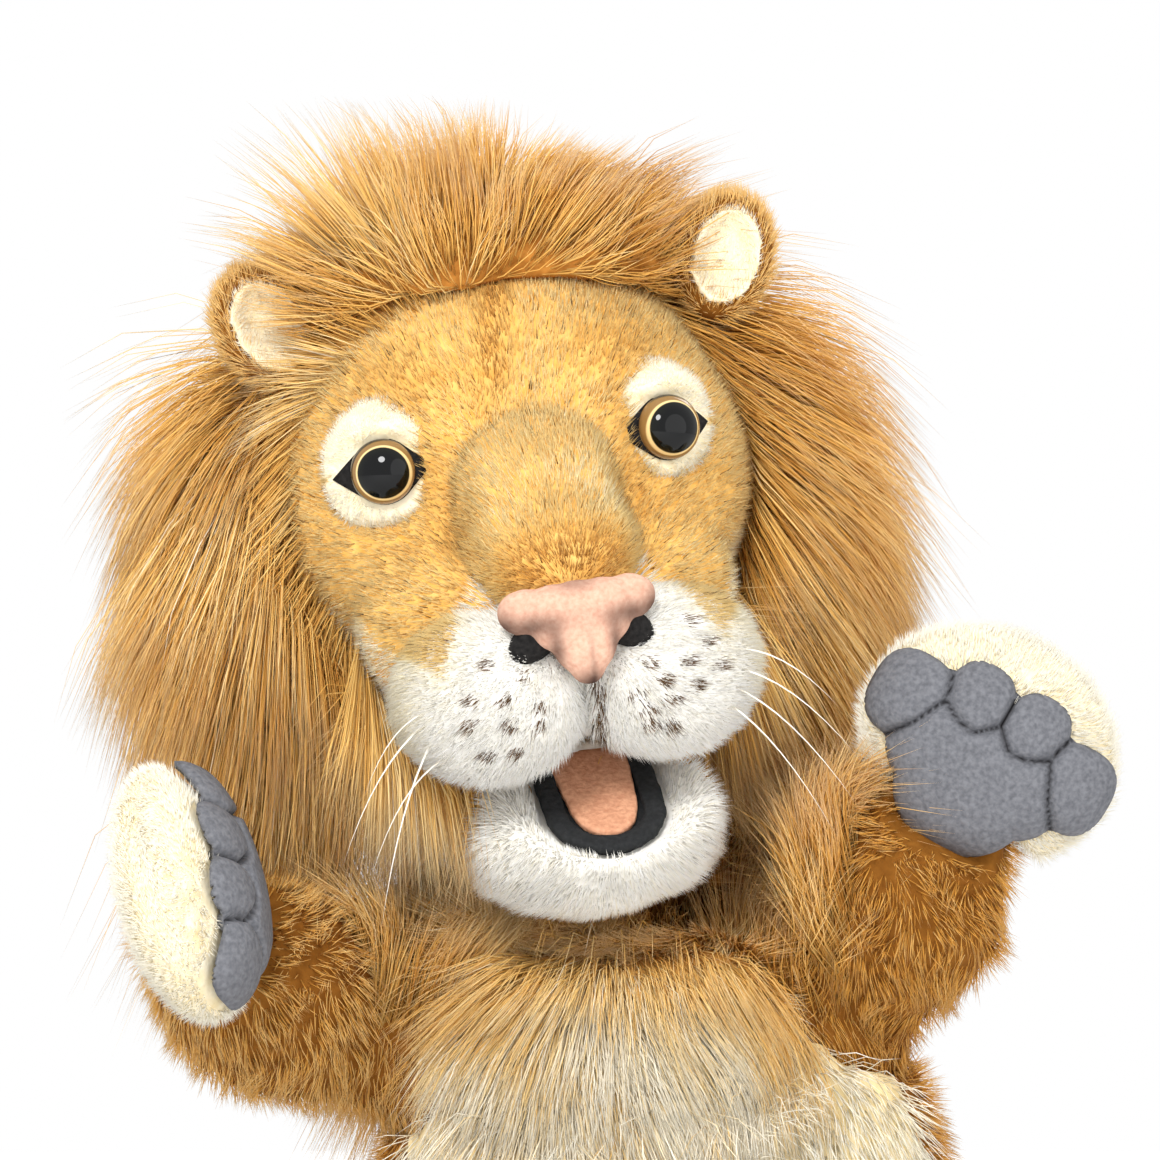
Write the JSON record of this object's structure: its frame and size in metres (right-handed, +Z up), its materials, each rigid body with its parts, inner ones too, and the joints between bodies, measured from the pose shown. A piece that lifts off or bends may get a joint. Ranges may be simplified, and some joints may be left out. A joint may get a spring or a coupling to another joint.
{
  "type": "lion hand puppet",
  "caption": "Plush lion hand puppet with a long mane, a mouth that opens, hollow arms with padded paws and a body that fits over a hand.",
  "frame": {"origin": "middle of the hand opening, on the hem's bottom face", "axes": "+Z up out of the hand, -Y the way the lion's chest faces, +X to the right of a viewer in front of it"},
  "size_m": [0.2263, 0.1536, 0.2817],
  "materials": {
    "mane_plush": "long golden-brown pile",
    "tan_plush": "short tan plush with dark tips",
    "amber_plush": "medium rust-orange plush",
    "cream_plush": "cream plush",
    "white_plush": "white plush",
    "sole_velour": "grey short velour",
    "nose_velour": "pink short velour",
    "tongue_velour": "peach short velour",
    "lip_fabric": "black knitted fabric",
    "liner_felt": "black felt",
    "lining_cloth": "brown woven lining",
    "filling": "white polyester filling",
    "eye_plastic": "clear dome over a dark pupil and a gold ring",
    "washer_plastic": "white plastic",
    "whisker_nylon": "pale nylon line"
  },
  "bodies": {
    "torso": {"chest_panel": "cream_plush", "body_back": "amber_plush", "hem_binding": "lining_cloth", "hand_lining": "lining_cloth", "chest_bib": "mane_plush", "mane_cape": "mane_plush"},
    "neck": {"neck_cuff": "lining_cloth"},
    "head": {"face_skin": "tan_plush", "scalp_skin": "mane_plush", "head_stuffing": "filling", "head_finger_pocket": "lining_cloth", "snout_bridge": "tan_plush", "nose_pad": "nose_velour", "muzzle_pad_left": "white_plush", "nostril_patch_left": "liner_felt", "eye_liner_left": "liner_felt", "eye_patch_left": "cream_plush", "eye_left": "eye_plastic", "eye_washer_left": "washer_plastic", "ear_left": "tan_plush", "ear_lining_left": "cream_plush", "whisker_left_1": "whisker_nylon", "whisker_left_2": "whisker_nylon", "whisker_left_3": "whisker_nylon", "whisker_left_4": "whisker_nylon", "muzzle_pad_right": "white_plush", "nostril_patch_right": "liner_felt", "eye_liner_right": "liner_felt", "eye_patch_right": "cream_plush", "eye_right": "eye_plastic", "eye_washer_right": "washer_plastic", "ear_right": "tan_plush", "ear_lining_right": "cream_plush", "whisker_right_1": "whisker_nylon", "whisker_right_2": "whisker_nylon", "whisker_right_3": "whisker_nylon", "whisker_right_4": "whisker_nylon", "mane_crown": "mane_plush", "mane_nape": "mane_plush", "mane_left": "mane_plush", "mane_right": "mane_plush", "mouth_roof": "lip_fabric"},
    "jaw": {"lower_jaw": "white_plush", "lower_lip": "lip_fabric", "tongue": "tongue_velour"},
    "arm_right": {"arm_sleeve_right": "amber_plush", "finger_lining_right": "lining_cloth"},
    "arm_left": {"arm_sleeve_left": "amber_plush", "finger_lining_left": "lining_cloth"},
    "paw_right": {"paw_right": "cream_plush", "paw_sole_right": "sole_velour"},
    "paw_left": {"paw_left": "cream_plush", "paw_sole_left": "sole_velour"}
  },
  "joints": [
    {"name": "head_turn", "type": "hinge", "parent": "torso", "child": "neck", "pos_m": [-0.0247, 0.0059, 0.1273], "axis": [0, 0, 1], "range_deg": [-10, 12], "stiffness_Nm_per_rad": 0.6},
    {"name": "head_nod", "type": "hinge", "parent": "neck", "child": "head", "pos_m": [-0.0247, 0.0059, 0.1273], "axis": [1, 0, 0], "range_deg": [-10, 8], "stiffness_Nm_per_rad": 2},
    {"name": "mouth", "type": "hinge", "parent": "head", "child": "jaw", "pos_m": [-0.021, -0.03256, 0.1451], "axis": [0.9741, 0.1651, 0.1543], "range_deg": [-14, 8], "stiffness_Nm_per_rad": 0.2},
    {"name": "right_arm_swing", "type": "hinge", "parent": "torso", "child": "arm_right", "pos_m": [0.034, -0.004, 0.087], "axis": [0, 1, 0], "range_deg": [-8, 20], "stiffness_Nm_per_rad": 0.5},
    {"name": "left_arm_swing", "type": "hinge", "parent": "torso", "child": "arm_left", "pos_m": [-0.048, -0.004, 0.081], "axis": [0, 1, 0], "range_deg": [-15, 10], "stiffness_Nm_per_rad": 0.5},
    {"name": "right_paw_bend", "type": "hinge", "parent": "arm_right", "child": "paw_right", "pos_m": [0.059, -0.029, 0.128], "axis": [0.8645, 0.0003, -0.5026], "range_deg": [-15, 15], "stiffness_Nm_per_rad": 0.15},
    {"name": "left_paw_bend", "type": "hinge", "parent": "arm_left", "child": "paw_left", "pos_m": [-0.098, -0.036, 0.106], "axis": [-0.168, 0.4916, 0.8545], "range_deg": [-15, 15], "stiffness_Nm_per_rad": 0.15}
  ]
}
